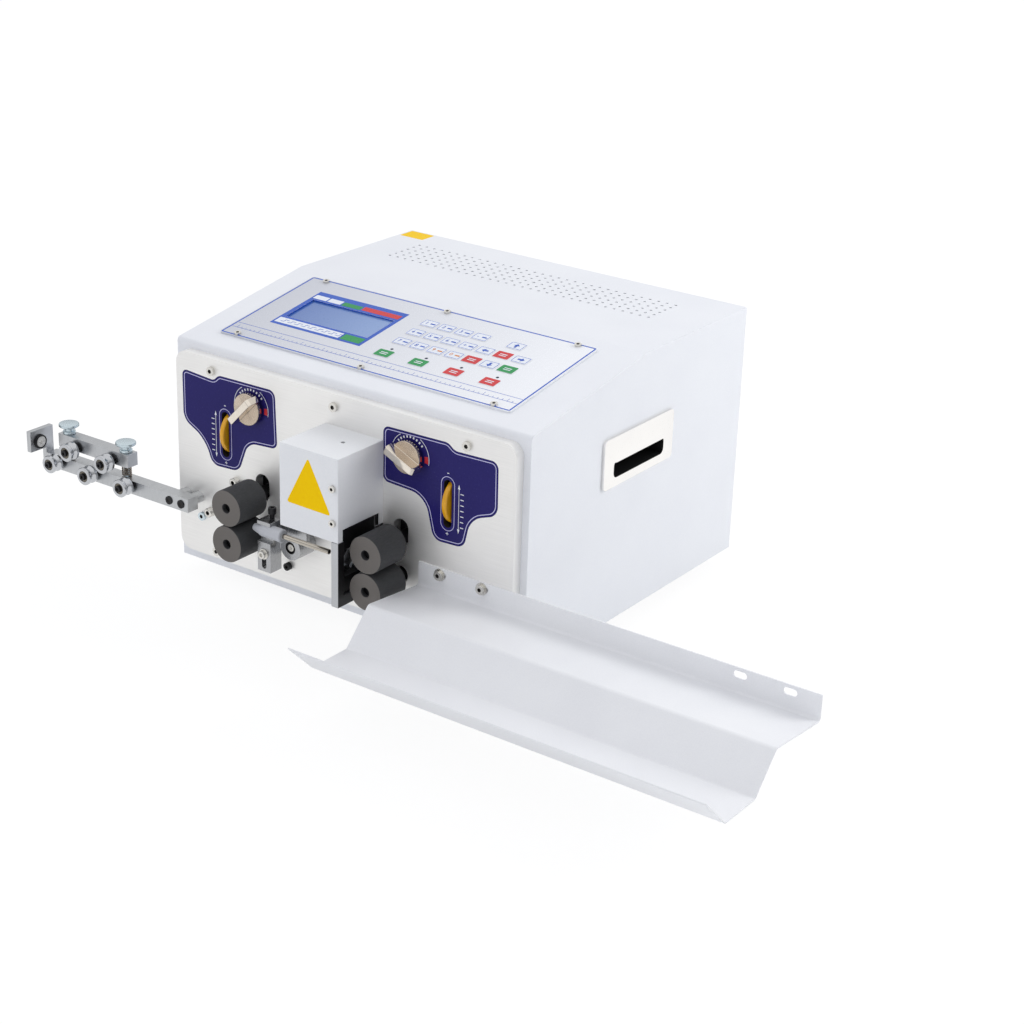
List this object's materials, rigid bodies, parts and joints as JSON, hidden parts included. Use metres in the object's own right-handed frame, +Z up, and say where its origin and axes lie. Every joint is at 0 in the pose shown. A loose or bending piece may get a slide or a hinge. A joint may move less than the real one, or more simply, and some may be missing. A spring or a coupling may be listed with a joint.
{
  "type": "wire cutting and stripping machine",
  "caption": "Bench machine that feeds wire between rubber rollers, cuts and strips it with opposed V blades, with a sloping control panel, a straightener arm and a collecting tray.",
  "frame": {"origin": "on the bench, under the middle of the four feet", "axes": "+Z up, +X along the wire to the tray, -Y to the operator"},
  "size_m": [0.8185, 0.524, 0.2556],
  "materials": {
    "case_paint": "fine powder coat",
    "cover_paint": "satin",
    "tray_paint": "satin",
    "plate_aluminium": "brushed and clear coated",
    "bar_aluminium": "milled",
    "machined_steel": "ground",
    "blade_steel": "polished",
    "nickel": "plated",
    "zinc": "zinc plated",
    "fastener_steel": "plated",
    "black_steel": "black oxide",
    "spring_steel": "oiled",
    "motor_black": "satin",
    "roller_rubber": "matte",
    "foot_rubber": "matte",
    "panel_film": "fine textured film",
    "screen": "glossy",
    "yellow_plastic": "satin",
    "black_plastic": "fine textured",
    "red_plastic": "glossy",
    "supply_sheet": "plain",
    "board_green": "satin"
  },
  "bodies": {
    "machine": {"base_pan": "case_paint", "case_shell": "case_paint", "rear_panel": "case_paint", "front_plate": "plate_aluminium", "fasteners": "fastener_steel", "rubber_feet": "foot_rubber", "control_panel": "panel_film", "display": "screen", "side_handles": "nickel", "cutter_cover": "cover_paint", "cutter_frame": "machined_steel", "cutter_motor": "motor_black", "guide_boss": "machined_steel", "straightener_bar": "bar_aluminium", "inlet_plate": "bar_aluminium", "wire_tray": "tray_paint", "feed_mounts": "bar_aluminium", "feed_motors": "motor_black", "power_inlet": "black_plastic", "power_supply": "supply_sheet", "control_board": "board_green", "left_pressure_spring": "spring_steel", "right_pressure_spring": "spring_steel", "straightener_springs": "spring_steel"},
    "left_knob": {"left_lift_knob": "nickel", "left_lift_cam": "machined_steel"},
    "right_knob": {"right_lift_knob": "nickel", "right_lift_cam": "machined_steel"},
    "left_wheel": {"left_thumbwheel": "yellow_plastic", "left_pressure_shaft": "machined_steel"},
    "right_wheel": {"right_thumbwheel": "yellow_plastic", "right_pressure_shaft": "machined_steel"},
    "left_lower_feed": {"left_lower_roller": "roller_rubber", "left_lower_shaft": "machined_steel"},
    "right_lower_feed": {"right_lower_roller": "roller_rubber", "right_lower_shaft": "machined_steel"},
    "left_lift": {"left_carriage": "bar_aluminium"},
    "right_lift": {"right_carriage": "bar_aluminium"},
    "left_upper_feed": {"left_upper_roller": "roller_rubber", "left_upper_shaft": "machined_steel"},
    "right_upper_feed": {"right_upper_roller": "roller_rubber", "right_upper_shaft": "machined_steel"},
    "blade_screw": {"lead_screw": "machined_steel"},
    "upper_cutter": {"upper_blade_carrier": "black_steel", "upper_blade": "blade_steel"},
    "lower_cutter": {"lower_blade_carrier": "black_steel", "lower_blade": "blade_steel"},
    "guide": {"guide_arm": "machined_steel", "guide_screws": "black_steel", "guide_pipe": "nickel"},
    "lower_roller_a": {"lower_roll_a": "zinc"},
    "lower_roller_b": {"lower_roll_b": "zinc"},
    "lower_roller_c": {"lower_roll_c": "zinc"},
    "upper_bar": {"straightener_upper_bar": "bar_aluminium", "upper_axles": "black_steel"},
    "upper_roller_a": {"upper_roll_a": "zinc"},
    "upper_roller_b": {"upper_roll_b": "zinc"},
    "left_thumb": {"left_thumbscrew": "zinc"},
    "right_thumb": {"right_thumbscrew": "zinc"},
    "rocker": {"power_rocker": "red_plastic"}
  },
  "joints": [
    {"name": "left_knob_turn", "type": "hinge", "parent": "machine", "child": "left_knob", "pos_m": [-0.0983, -0.18, 0.185], "axis": [0, 1, 0], "range_deg": [0, 90]},
    {"name": "right_knob_turn", "type": "hinge", "parent": "machine", "child": "right_knob", "pos_m": [0.0793, -0.18, 0.185], "axis": [0, -1, 0], "range_deg": [0, 90]},
    {"name": "left_roller_lift", "type": "slide", "parent": "machine", "child": "left_lift", "axis": [0, 0, 1], "range_m": [0, 0.005], "deforming": ["left_pressure_spring"]},
    {"name": "right_roller_lift", "type": "slide", "parent": "machine", "child": "right_lift", "axis": [0, 0, 1], "range_m": [0, 0.005], "deforming": ["right_pressure_spring"]},
    {"name": "left_feed_spin", "type": "hinge", "parent": "machine", "child": "left_lower_feed", "pos_m": [-0.08635, -0.18, 0.0735], "axis": [0, 1, 0], "continuous": true},
    {"name": "right_feed_spin", "type": "hinge", "parent": "machine", "child": "right_lower_feed", "pos_m": [0.07015, -0.18, 0.0735], "axis": [0, 1, 0], "continuous": true},
    {"name": "left_upper_spin", "type": "hinge", "parent": "left_lift", "child": "left_upper_feed", "pos_m": [-0.08635, -0.18, 0.1075], "axis": [0, 1, 0], "continuous": true},
    {"name": "right_upper_spin", "type": "hinge", "parent": "right_lift", "child": "right_upper_feed", "pos_m": [0.07015, -0.18, 0.1075], "axis": [0, 1, 0], "continuous": true},
    {"name": "left_wheel_turn", "type": "hinge", "parent": "machine", "child": "left_wheel", "pos_m": [-0.1295, -0.165, 0.152], "axis": [1, 0, 0], "range_deg": [0, 180]},
    {"name": "right_wheel_turn", "type": "hinge", "parent": "machine", "child": "right_wheel", "pos_m": [0.1193, -0.165, 0.152], "axis": [1, 0, 0], "range_deg": [0, 180]},
    {"name": "lead_screw_turn", "type": "hinge", "parent": "machine", "child": "blade_screw", "pos_m": [0.024, -0.199, 0.1], "axis": [0, 0, 1], "range_deg": [0, 576]},
    {"name": "upper_blade_slide", "type": "slide", "parent": "machine", "child": "upper_cutter", "axis": [0, 0, 1], "range_m": [-0.008, 0]},
    {"name": "lower_blade_slide", "type": "slide", "parent": "machine", "child": "lower_cutter", "axis": [0, 0, 1], "range_m": [0, 0.008]},
    {"name": "guide_swing", "type": "hinge", "parent": "machine", "child": "guide", "pos_m": [-0.036, -0.199, 0.075], "axis": [0, 1, 0], "range_deg": [0, 12]},
    {"name": "lower_roll_a_spin", "type": "hinge", "parent": "machine", "child": "lower_roller_a", "pos_m": [-0.3205, -0.2125, 0.0855], "axis": [0, 1, 0], "continuous": true},
    {"name": "lower_roll_b_spin", "type": "hinge", "parent": "machine", "child": "lower_roller_b", "pos_m": [-0.2745, -0.2125, 0.0855], "axis": [0, 1, 0], "continuous": true},
    {"name": "lower_roll_c_spin", "type": "hinge", "parent": "machine", "child": "lower_roller_c", "pos_m": [-0.2285, -0.2125, 0.0855], "axis": [0, 1, 0], "continuous": true},
    {"name": "upper_bar_slide", "type": "slide", "parent": "machine", "child": "upper_bar", "axis": [0, 0, 1], "range_m": [-0.0024, 0], "deforming": ["straightener_springs"]},
    {"name": "upper_roll_a_spin", "type": "hinge", "parent": "upper_bar", "child": "upper_roller_a", "pos_m": [-0.2975, -0.2125, 0.103], "axis": [0, 1, 0], "continuous": true},
    {"name": "upper_roll_b_spin", "type": "hinge", "parent": "upper_bar", "child": "upper_roller_b", "pos_m": [-0.2515, -0.2125, 0.103], "axis": [0, 1, 0], "continuous": true},
    {"name": "left_thumb_turn", "type": "hinge", "parent": "upper_bar", "child": "left_thumb", "pos_m": [-0.3115, -0.198, 0.12], "axis": [0, 0, -1], "range_deg": [0, 1080]},
    {"name": "right_thumb_turn", "type": "hinge", "parent": "upper_bar", "child": "right_thumb", "pos_m": [-0.2375, -0.198, 0.12], "axis": [0, 0, -1], "range_deg": [0, 1080]},
    {"name": "rocker_tilt", "type": "hinge", "parent": "machine", "child": "rocker", "pos_m": [-0.13, 0.17, 0.079], "axis": [-1, 0, 0], "range_deg": [0, 16]}
  ],
  "couplings": [
    {"joint": "left_knob_turn", "follows": "left_roller_lift", "rad_per_m": 314.15},
    {"joint": "right_knob_turn", "follows": "right_roller_lift", "rad_per_m": 314.15},
    {"joint": "left_upper_spin", "follows": "left_feed_spin", "ratio": -1},
    {"joint": "right_upper_spin", "follows": "right_feed_spin", "ratio": -1},
    {"joint": "lead_screw_turn", "follows": "upper_blade_slide", "rad_per_m": -1256.6},
    {"joint": "lower_blade_slide", "follows": "upper_blade_slide", "ratio": -1},
    {"joint": "left_thumb_turn", "follows": "upper_bar_slide", "rad_per_m": -7853},
    {"joint": "right_thumb_turn", "follows": "upper_bar_slide", "rad_per_m": -7853}
  ]
}
